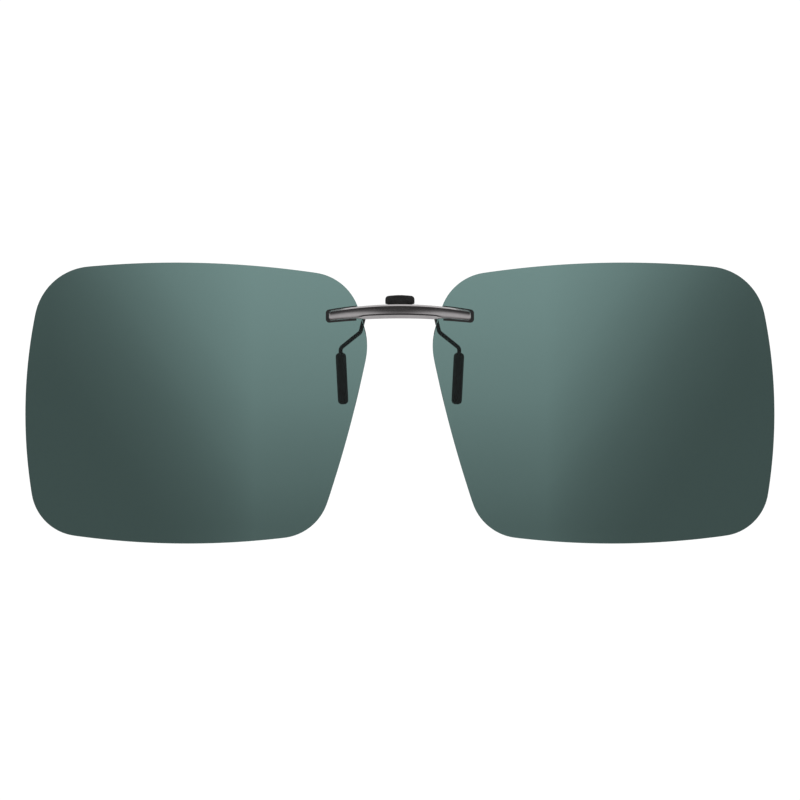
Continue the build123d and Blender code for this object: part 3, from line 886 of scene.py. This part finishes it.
def bar_mesh():
    """Arched bar with a bevel along its top, a curved face and a lip along its bottom."""
    look = settings("bar")
    low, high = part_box("bridge_bar")
    half = high.x
    front, rear = low.y, high.y
    end_z = FLIP_AXIS.z - look.arch
    top_end, bottom_end = end_z + look.end_height / 2, end_z - look.end_height / 2
    top_middle = FLIP_AXIS.z + look.middle_height / 2
    bottom_middle = FLIP_AXIS.z - look.middle_height / 2
    stations = [math.sin(t) for t in np.linspace(0, math.pi / 2, BAR_END_STATIONS)]
    ends = [half - look.end_round + look.end_round * s for s in stations]
    inner = list(np.linspace(-half + look.end_round, half - look.end_round, BAR_STATIONS))
    places = [-x for x in reversed(ends[1:])] + inner + ends[1:]
    points = []
    for x in places:
        top = arc_height(x, top_middle, top_end, half)
        bottom = arc_height(x, bottom_middle, bottom_end, half)
        beyond = max(0.0, (abs(x) - (half - look.end_round)) / look.end_round)
        shrink = math.sqrt(max(0.0, 1 - min(1.0, beyond) ** 2))
        loss = look.end_round * (1 - shrink)
        top, bottom = top - loss, bottom + loss
        back = front + look.end_retreat * loss
        scale = (top - bottom) / look.middle_height
        foot_tilt = look.foot_tilt * max(0.0, 1 - (x / look.foot_reach) ** 2) ** 2
        rise = look.face_height * scale

        def forward(share):
            return rise * (look.top_tilt * (share - share ** 2 / 2)
                           + foot_tilt * share ** 2 / 2)

        share = min(1.0, max(0.0, (abs(x) - look.lip_end) / look.lip_fade))
        run_out = share * share * (3 - 2 * share)
        bottom += look.end_lift * run_out
        brow = back + look.ledge + forward(1.0)
        face_top = top - look.top_bevel * scale
        face_bottom = face_top - rise
        lip_room = face_bottom - bottom - (look.ledge_height + look.end_strip) * scale
        lip_top = face_bottom - look.ledge_height * scale - lip_room * run_out
        lip_bottom = bottom + look.foot_bevel * scale
        section = [(rear, top), (brow + look.flat_depth, top),
                   (brow + look.bevel_depth, top - look.top_drop)]
        for share in np.linspace(0.0, 1.0, BAR_FACE_ROWS):
            section.append((brow - forward(share), face_top - rise * share))
        section += [(back, lip_top), (back + look.lip_slope * (lip_top - lip_bottom), lip_bottom),
                    (back + look.flat_depth, bottom + look.foot_rise), (rear, bottom)]
        points += [(x, y, z) for y, z in section]
    count = len(section)
    faces = ring_faces(len(places), count)
    faces += [tuple(range(count)), tuple(range((len(places) - 1) * count, len(points)))]
    return closed_mesh("arched_bar", points, faces, crease=14.0)


class FLIPLENS_OT_bar(Operator):
    """Polished gunmetal bar that carries the lenses"""

    bl_idname = "fliplens.bar"
    bl_label = "Arched bar"

    def execute(self, context):
        stand_for(add_object("arched_bar", bar_mesh()), "bridge_bar")
        return {"FINISHED"}


# ---- Finger caps ----------------------------------------------------------------------


CAP_POINTS = 112
CAP_RINGS = 12
# How much shallower the dish is at its sides, and where it ends and how fast, as shares.
DISH_BOWL, DISH_TOP, DISH_FADE = 0.45, 0.95, 0.3


def cap_mesh(name, node):
    """Moulded cap with rounded edges and a shallow finger dish in front and behind."""
    look = settings("cap")
    low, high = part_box(node)
    crown = look.crown
    corners = [(low.x, low.z), (high.x, low.z), (high.x, high.z - crown),
               (0.0, high.z), (low.x, high.z - crown)]
    radii = (look.foot_corner, look.foot_corner, look.corner, look.crown_radius, look.corner)
    outline = rounded_outline(corners, radii)
    loop = even_loop(thinned(outline, 0.02 * MM), CAP_POINTS)
    top = loop[:, 1].max()
    loop[:, 1] += (high.z - top) * (loop[:, 1] - low.z) / (top - low.z)
    normals = outline_normals(loop)
    centre = np.array((0.0, (low.z + high.z) / 2))
    points = []

    def dish(flat):
        inside = np.clip((look.dish_half_width - np.abs(flat[:, 0])) / look.dish_edge, 0, 1)
        edge = inside * inside * (3 - 2 * inside)
        bowl = 1 - DISH_BOWL * (flat[:, 0] / look.dish_half_width) ** 2
        height = (flat[:, 1] - low.z) / (high.z - low.z)
        fade = np.clip((DISH_TOP - height) / DISH_FADE, 0, 1)
        return look.dish_depth * edge * bowl * fade

    steps = edge_steps(look.edge, 4)
    for side, start in ((1, low.y), (-1, high.y)):
        block = []
        core = loop - normals * look.edge
        for k in range(CAP_RINGS - 1, 0, -1):
            ring = centre + (core - centre) * (1 - k / CAP_RINGS)
            block.append(np.column_stack((ring[:, 0], start + side * dish(ring), ring[:, 1])))
        for inset, drop in steps:
            ring = loop - normals * inset
            y = start + side * (drop + dish(ring) * (inset > 0.9 * look.edge))
            block.append(np.column_stack((ring[:, 0], y, ring[:, 1])))
        points += block if side == 1 else block[::-1]
    total = len(points)
    count = len(loop)
    faces = ring_faces(total, count)
    merged = [tuple(point) for ring in points for point in ring]
    for ring, first in ((points[0], 0), (points[-1], (total - 1) * count)):
        faces += fan(merged, count, first, ring.mean(0))
    return closed_mesh(name, merged, faces, crease=50.0)


class FLIPLENS_OT_caps(Operator):
    """Rubber caps over the two finger tabs"""

    bl_idname = "fliplens.caps"
    bl_label = "Finger caps"

    def execute(self, context):
        for name, node in (("front_finger_cap", "front_tab_cap"),
                           ("rear_finger_cap", "rear_tab_cap")):
            stand_for(add_object(name, cap_mesh(name, node)), node)
        return {"FINISHED"}


# ---- Grip sleeves ---------------------------------------------------------------------


SLEEVE_SIDES = 72


def sleeve_mesh(name, node, side):
    """Sleeve with rounded ends, a hole for the wire and a fine mould line on each flank."""
    look = settings("sleeve")
    low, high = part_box(node)
    middle = (low + high) / 2
    lean = look.lean if side == "left" else -look.lean
    down = Vector((math.sin(lean), 0, -math.cos(lean)))
    across = Vector((math.cos(lean), 0, math.sin(lean)))
    top = middle - down * look.length / 2
    bore, lip = look.bore_radius, look.bore_radius + look.bore_lip
    shoulder = look.radius - look.end_round
    profile = [(look.bore_depth, bore), (0.1 * MM, bore), (0.03 * MM, bore + 0.02 * MM),
               (0.0, lip)]
    start = math.asin(min(1.0, (lip - shoulder) / look.end_round))
    for turn in np.linspace(start, math.pi / 2, 8)[1:]:
        profile.append((look.end_round * (1 - math.cos(turn)),
                        shoulder + look.end_round * math.sin(turn)))
    lift = look.end_round * (1 - math.cos(start))
    profile[4:] = [(along - lift * (1 - k / 6), radius)
                   for k, (along, radius) in enumerate(profile[4:])]
    profile += [(look.length * k / 10, look.radius) for k in range(2, 9)]
    for turn in np.linspace(0, math.pi / 2, 9)[1:]:
        profile.append((look.length - look.end_round * (1 - math.sin(turn)),
                        shoulder + look.end_round * math.cos(turn)))
    count = SLEEVE_SIDES
    angles = np.arange(count) * 2 * math.pi / count
    ridge = sum(np.exp(-(((angles - at + math.pi) % (2 * math.pi) - math.pi) / 0.07) ** 2)
                for at in (0.0, math.pi))
    points = []
    for along, radius in profile:
        swell = look.mould_line * ridge * (radius > 0.8 * look.radius)
        for angle, extra in zip(angles, swell):
            offset = across * math.cos(angle) + Vector((0, 1, 0)) * math.sin(angle)
            points.append(top + down * along + offset * (radius - look.mould_line + extra))
    faces = ring_faces(len(profile), count)
    for first, along in ((0, profile[0][0]), ((len(profile) - 1) * count, look.length)):
        faces += fan(points, count, first, top + down * along)
    return closed_mesh(name, points, faces, crease=40.0)


class FLIPLENS_OT_sleeves(Operator):
    """Soft sleeves on the ends of the prong wires"""

    bl_idname = "fliplens.sleeves"
    bl_label = "Grip sleeves"

    def execute(self, context):
        for jaw in ("front", "rear"):
            for side in SIDES:
                name = jaw + "_grip_" + side
                node = jaw + "_sleeve_" + side
                stand_for(add_object(name, sleeve_mesh(name, node, side)), node)
        return {"FINISHED"}


# ---- Geometry Nodes pieces ------------------------------------------------------------


class FLIPLENS_OT_spring(Operator):
    """Torsion spring between the jaws, built as a fixed coil; the real one winds up as they open"""

    bl_idname = "fliplens.spring"
    bl_label = "Jaw spring"

    def execute(self, context):
        look = settings("spring")
        low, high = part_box("torsion_spring")
        sizes = {"Wire Radius": look.wire_radius, "Coil Radius": look.coil_radius,
                 "Length": look.pitch * look.turns, "Turns": look.turns,
                 "Front Leg": JAW_AXIS.y - low.y, "Rear Leg": high.y - JAW_AXIS.y}
        tree = spring_tree(finish("spring_steel"))
        piece = baked("jaw_spring", tree, sizes)
        piece.data.transform(Matrix.Translation(JAW_AXIS))
        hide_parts("torsion_spring")
        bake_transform(piece)
        return {"FINISHED"}


def new_tree(name, inputs):
    """An empty geometry tree with named number inputs, and its input and output nodes."""
    tree = bpy.data.node_groups.new(name, "GeometryNodeTree")
    tree.interface.new_socket("Geometry", in_out="INPUT", socket_type="NodeSocketGeometry")
    for socket, kind in inputs:
        tree.interface.new_socket(socket, in_out="INPUT", socket_type=kind)
    tree.interface.new_socket("Geometry", in_out="OUTPUT", socket_type="NodeSocketGeometry")
    nodes = Nodes(tree)
    return tree, nodes, nodes.add("NodeGroupInput").outputs, nodes.add("NodeGroupOutput")


def baked(name, tree, values, mesh=None):
    """Runs a geometry tree on a mesh and keeps the result as a plain mesh object."""
    piece = add_object(name, mesh or bpy.data.meshes.new(name))
    modifier = piece.modifiers.new("build", "NODES")
    modifier.node_group = tree
    for item in tree.interface.items_tree:
        if item.in_out == "INPUT" and item.name in values:
            modifier[item.identifier] = values[item.name]
    graph = bpy.context.evaluated_depsgraph_get()
    result = bpy.data.meshes.new_from_object(piece.evaluated_get(graph))
    piece.modifiers.clear()
    piece.data = result
    result.name = name
    return piece


def spring_tree(material):
    """Coil along X with two legs that leave its top, one forwards and one rearwards."""
    names = ("Wire Radius", "Coil Radius", "Length", "Turns", "Front Leg", "Rear Leg")
    tree, n, given, result = new_tree("torsion spring",
                                      [(name, "NodeSocketFloat") for name in names])
    coil = n.add("GeometryNodeCurveSpiral", {
        "Resolution": 36, "Rotations": given["Turns"], "Start Radius": given["Coil Radius"],
        "End Radius": given["Coil Radius"], "Height": given["Length"]})
    half = n.add("ShaderNodeMath", {0: given["Length"], 1: -0.5}, operation="MULTIPLY")
    back = n.add("ShaderNodeCombineXYZ", {"X": half.outputs[0]})
    laid = n.add("GeometryNodeTransform", {"Geometry": coil.outputs[0],
                                           "Translation": back.outputs[0],
                                           "Rotation": (0.0, math.pi / 2, math.pi)})
    joined = n.add("GeometryNodeJoinGeometry", {})
    tree.links.new(laid.outputs[0], joined.inputs[0])
    front_end = n.math("MULTIPLY", half.outputs[0], -1.0)
    for start_x, leg, way in ((front_end, "Front Leg", -1.0), (half.outputs[0], "Rear Leg", 1.0)):
        start = n.add("ShaderNodeCombineXYZ", {"X": start_x, "Z": given["Coil Radius"]})
        reach = n.math("MULTIPLY", given[leg], way)
        end = n.add("ShaderNodeCombineXYZ", {"X": start_x, "Y": reach,
                                             "Z": given["Coil Radius"]})
        line = n.add("GeometryNodeCurvePrimitiveLine", {"Start": start.outputs[0],
                                                        "End": end.outputs[0]})
        tree.links.new(line.outputs[0], joined.inputs[0])
    ring = n.add("GeometryNodeCurvePrimitiveCircle", {"Resolution": 14,
                                                      "Radius": given["Wire Radius"]})
    wire = n.add("GeometryNodeCurveToMesh", {"Curve": joined.outputs[0],
                                             "Profile Curve": ring.outputs[0],
                                             "Fill Caps": True})
    smooth = n.add("GeometryNodeSetShadeSmooth", {"Geometry": wire.outputs[0]})
    real = n.add("GeometryNodeRealizeInstances", {"Geometry": smooth.outputs[0]})
    coated = n.add("GeometryNodeSetMaterial", {"Geometry": real.outputs[0],
                                               "Material": material})
    tree.links.new(coated.outputs[0], result.inputs[0])
    return tree


NUT_SIDES = 36
NUT_CREASE = 28.0
NUT_TURN = 0.35
# Radius of a nut's foot and crest against its flats, and its foot chamfer against the upper.
FOOT_SHARE, CREST_SHARE, FOOT_CUT = 0.97, 0.95, 0.6


def nut_mesh():
    """One hexagon nut with chamfered corners and a round bore, its axis along Y."""
    look = settings("nut")
    flats, corner = look.across_flats / 2, look.across_flats / 2 / math.cos(math.pi / 6)
    count = NUT_SIDES
    points = []

    def ring(y, limit):
        for i in range(count):
            angle = 2 * math.pi * i / count
            off = (angle + math.pi / 6) % (math.pi / 3) - math.pi / 6
            radius = min(flats / math.cos(off), limit)
            points.append((radius * math.cos(angle), y, radius * math.sin(angle)))

    bore, mouth = look.stud_radius + look.slack, look.bore_chamfer
    thick, cut = look.thickness, look.chamfer
    rings = ((0.0, bore), (0.0, flats * FOOT_SHARE), (cut * FOOT_CUT, corner),
             (thick - cut, corner), (thick, flats * CREST_SHARE), (thick, bore + mouth),
             (thick - mouth, bore))
    for y, limit in rings:
        ring(y, limit)
    faces = ring_faces(len(rings), count)
    last = (len(rings) - 1) * count
    faces += [(i, (i + 1) % count, last + (i + 1) % count, last + i) for i in range(count)]
    return closed_mesh("nut", points, faces, crease=NUT_CREASE)


def nut_tree(nut, material):
    """Puts one nut on every point that it is given."""
    tree, n, given, result = new_tree("nuts on studs", [("Turn", "NodeSocketFloat")])
    part = n.add("GeometryNodeObjectInfo", {"Object": nut})
    spots = n.add("GeometryNodeMeshToPoints", {"Mesh": given["Geometry"]})
    number = n.add("GeometryNodeInputIndex").outputs[0]
    angle = n.math("MULTIPLY", number, given["Turn"])
    turn = n.add("ShaderNodeCombineXYZ", {"Y": angle})
    many = n.add("GeometryNodeInstanceOnPoints", {"Points": spots.outputs[0],
                                                  "Instance": part.outputs["Geometry"],
                                                  "Rotation": turn.outputs[0]})
    real = n.add("GeometryNodeRealizeInstances", {"Geometry": many.outputs[0]})
    coated = n.add("GeometryNodeSetMaterial", {"Geometry": real.outputs[0],
                                               "Material": material})
    tree.links.new(coated.outputs[0], result.inputs[0])
    return tree


class FLIPLENS_OT_nuts(Operator):
    """Chamfered nuts on the lens studs"""

    bl_idname = "fliplens.nuts"
    bl_label = "Lens nuts"

    def execute(self, context):
        nut = add_object("nut", nut_mesh())
        tree = nut_tree(nut, finish("nickel"))
        for side in SIDES:
            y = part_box("lens_nuts_" + side)[0].y
            spots = bpy.data.meshes.new("spots")
            spots.from_pydata([(x, y, z) for x, z in stud_places(side)], [], [])
            name = "clamp_nuts_" + side
            piece = baked(name, tree, {"Turn": NUT_TURN}, spots)
            piece.data.set_sharp_from_angle(angle=math.radians(NUT_CREASE))
            stand_for(piece, "lens_nuts_" + side)
        bpy.data.objects.remove(nut)
        return {"FINISHED"}


# ---- Pieces that keep their CAD shape -------------------------------------------------


SHARP_EDGE = math.radians(40)
SHADED_EDGE = math.radians(35)


def softened(node, width):
    """Copy of a CAD node, its sharp edges broken by a narrow bevel where a width is given."""
    mesh = frame["nodes"][node].data.copy()
    shape = bmesh.new()
    shape.from_mesh(mesh)
    bmesh.ops.remove_doubles(shape, verts=shape.verts, dist=1e-6)
    bmesh.ops.dissolve_limit(shape, angle_limit=math.radians(1.0), verts=shape.verts,
                             edges=shape.edges)
    sharp = [edge for edge in shape.edges
             if len(edge.link_faces) == 2 and edge.calc_face_angle() > SHARP_EDGE]
    if width and sharp:
        bmesh.ops.bevel(shape, geom=sharp, offset=width, segments=2, profile=0.5,
                        affect="EDGES", clamp_overlap=True)
    bmesh.ops.triangulate(shape, faces=[face for face in shape.faces if len(face.verts) > 4])
    shape.to_mesh(mesh)
    shape.free()
    mesh.shade_smooth()
    mesh.set_sharp_from_angle(angle=SHADED_EDGE)
    return stand_for(add_object(node + "_finished", mesh), node)


# Node, or the stem of a left and a right one, and the bevel's width in millimetres.
EDGE_BREAKS = (
    ("front_jaw_frame", 0.035), ("rear_jaw_plate", 0.035), ("flip_barrel", 0.03),
    ("flip_pin", 0.0), ("jaw_pin", 0.0), ("detent_leaf", 0.0), ("spring_bush", 0.0),
    ("friction_washer", 0.0), ("front_prong", 0.0), ("rear_prong", 0.0), ("gasket", 0.02),
    ("lens_studs", 0.03), ("lens_bushings", 0.0), ("lens_washers", 0.02),
)


class FLIPLENS_OT_small_parts(Operator):
    """Frame, pins, wires and lens fastenings, some with their edges broken"""

    bl_idname = "fliplens.small_parts"
    bl_label = "Small parts"

    def execute(self, context):
        for stem, width in EDGE_BREAKS:
            names = [name for name in frame["nodes"]
                     if name == stem or name in (stem + "_left", stem + "_right")]
            if not names:
                raise RuntimeError("no CAD node is called " + stem)
            for name in names:
                softened(name, width * MM)
        return {"FINISHED"}


# ---- Add-on ---------------------------------------------------------------------------

OPERATORS = (FLIPLENS_OT_stage, FLIPLENS_OT_lenses, FLIPLENS_OT_bar, FLIPLENS_OT_caps,
             FLIPLENS_OT_sleeves, FLIPLENS_OT_spring, FLIPLENS_OT_nuts,
             FLIPLENS_OT_small_parts)


class FLIPLENS_PT_panel(Panel):
    """Lists the pieces and their settings in the sidebar"""

    bl_idname = "FLIPLENS_PT_panel"
    bl_label = "Flip lenses"
    bl_space_type = "VIEW_3D"
    bl_region_type = "UI"
    bl_category = "Flip lenses"

    def draw(self, context):
        for operator in OPERATORS:
            self.layout.operator(operator.bl_idname)
        for key, group, label in SETTINGS:
            box = self.layout.box()
            box.label(text=label)
            for name in group.__annotations__:
                box.prop(getattr(context.scene.flip_lenses, key), name)


CLASSES = (*(group for _, group, _ in SETTINGS), FlipLensSettings, *OPERATORS,
           FLIPLENS_PT_panel)


def register():
    for item in CLASSES:
        bpy.utils.register_class(item)
    bpy.types.Scene.flip_lenses = PointerProperty(type=FlipLensSettings)


def unregister():
    del bpy.types.Scene.flip_lenses
    for item in reversed(CLASSES):
        bpy.utils.unregister_class(item)


def main():
    register()
    for operator in OPERATORS:
        group, name = operator.bl_idname.split(".")
        getattr(getattr(bpy.ops, group), name)()


if __name__ == "__main__":
    main()
